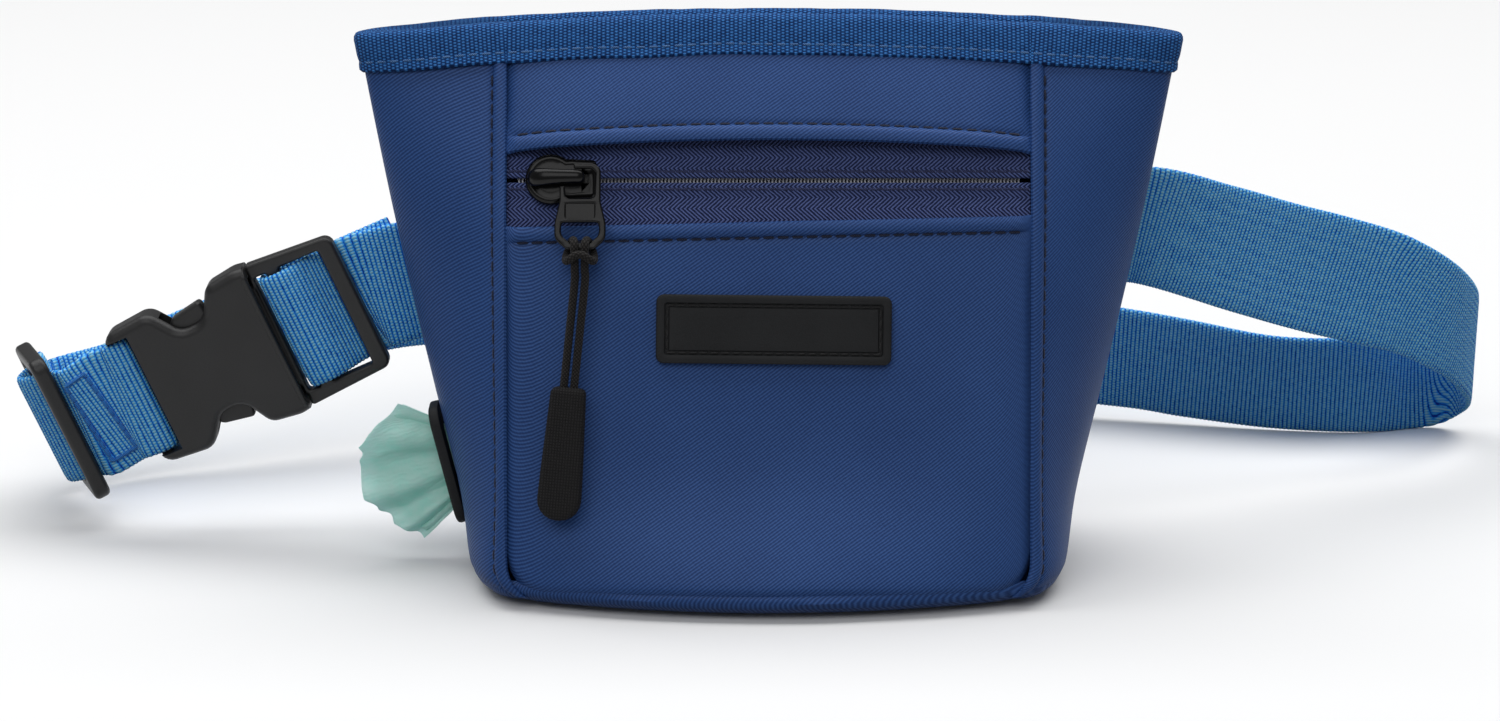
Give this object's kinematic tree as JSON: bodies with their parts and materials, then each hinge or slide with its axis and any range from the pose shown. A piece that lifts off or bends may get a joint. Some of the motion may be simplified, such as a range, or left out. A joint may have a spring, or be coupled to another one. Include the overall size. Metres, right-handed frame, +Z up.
{
  "type": "treat pouch",
  "caption": "Soft training-treat pouch with a magnetic pinch mouth, zipped front pocket, waste-bag dispenser slot in one gusset and a webbing waist belt with side-release buckle.",
  "frame": {"origin": "centre of the base panel's underside, on the surface that the pouch stands on", "axes": "+Z up, +X to the right along the belt, -Y towards the front with the zipped pocket"},
  "size_m": [0.3129, 0.1396, 0.1125],
  "materials": {
    "navy_twill": "woven twill with a soft coated sheen",
    "binding_tape": "ribbed grosgrain tape",
    "lining": "thin coated lining cloth",
    "webbing": "cross-ribbed webbing",
    "zip_tape": "herringbone tape",
    "zip_teeth": "moulded coil",
    "slider_metal": "glossy black enamel",
    "rubber": "matte soft rubber",
    "buckle_plastic": "satin moulded acetal",
    "cord": "braided cord",
    "magnet": "plated disc",
    "bag_film": "thin crinkled film",
    "core_plastic": "moulded tube"
  },
  "bodies": {
    "pouch": {"base_panel": "navy_twill", "left_gusset": "navy_twill", "right_gusset": "navy_twill", "back_panel": "navy_twill", "back_lining": "lining", "rear_binding": "binding_tape", "back_magnet_left": "magnet", "back_magnet_right": "magnet", "belt_sleeve": "navy_twill", "belt_webbing": "webbing", "buckle_male": "buckle_plastic", "dispenser_plate": "rubber", "roll_divider": "lining"},
    "front_wall": {"front_pocket": "navy_twill", "front_yoke": "navy_twill", "front_lining": "lining", "front_binding": "binding_tape", "front_magnet_left": "magnet", "front_magnet_right": "magnet", "zip_tape_upper": "zip_tape", "zip_tape_lower": "zip_tape", "zip_teeth_upper": "zip_teeth", "zip_teeth_lower": "zip_teeth", "label_patch": "rubber"},
    "zip_slider": {"zip_slider": "slider_metal"},
    "zip_pull": {"zip_puller": "slider_metal"},
    "pull_tag": {"grip_tag": "rubber", "pull_cord": "cord"},
    "buckle_female": {"buckle_female": "buckle_plastic", "belt_end": "webbing", "tri_glide": "buckle_plastic"},
    "prong_upper": {"prong_upper": "buckle_plastic"},
    "prong_lower": {"prong_lower": "buckle_plastic"},
    "bag_roll": {"bag_roll": "bag_film", "roll_core": "core_plastic"},
    "bag_tail": {"bag_tail": "bag_film"}
  },
  "joints": [
    {"name": "mouth_open", "type": "hinge", "parent": "pouch", "child": "front_wall", "pos_m": [0, -0.029, 0.0015], "axis": [1, 0, 0], "range_deg": [0, 18], "stiffness_Nm_per_rad": 0.02},
    {"name": "zip_slide", "type": "slide", "parent": "front_wall", "child": "zip_slider", "axis": [1, 0, 0], "range_m": [0, 0.081]},
    {"name": "pull_flip", "type": "hinge", "parent": "zip_slider", "child": "zip_pull", "pos_m": [-0.0376, -0.01047, 0.0833], "axis": [-1, 0, 0], "range_deg": [0, 150]},
    {"name": "tag_swing", "type": "hinge", "parent": "zip_pull", "child": "pull_tag", "pos_m": [-0.0376, -0.01587, 0.07077], "axis": [0, -0.9185, 0.3955], "range_deg": [-25, 20]},
    {"name": "buckle_release", "type": "slide", "parent": "pouch", "child": "buckle_female", "axis": [-0.9128, 0, -0.4083], "range_m": [0, 0.022], "deforming": ["prong_upper", "prong_lower"]},
    {"name": "prong_upper_squeeze", "type": "hinge", "parent": "pouch", "child": "prong_upper", "pos_m": [-0.10696, 0.02013, 0.04841], "axis": [0, -1, 0], "range_deg": [0, 7], "stiffness_Nm_per_rad": 0.05},
    {"name": "prong_lower_squeeze", "type": "hinge", "parent": "pouch", "child": "prong_lower", "pos_m": [-0.1001, 0.02013, 0.03307], "axis": [0, 1, 0], "range_deg": [0, 7], "stiffness_Nm_per_rad": 0.05},
    {"name": "roll_spin", "type": "hinge", "parent": "pouch", "child": "bag_roll", "pos_m": [-0.036, 0.00344, 0.0277], "axis": [0, 0, -1], "range_deg": [0, 91]},
    {"name": "bag_pull", "type": "slide", "parent": "pouch", "child": "bag_tail", "axis": [-0.9647, 0, -0.2635], "range_m": [0, 0.0205], "deforming": ["bag_tail"]}
  ],
  "couplings": [
    {"joint": "bag_pull", "follows": "roll_spin", "m_per_rad": 0.0125}
  ]
}
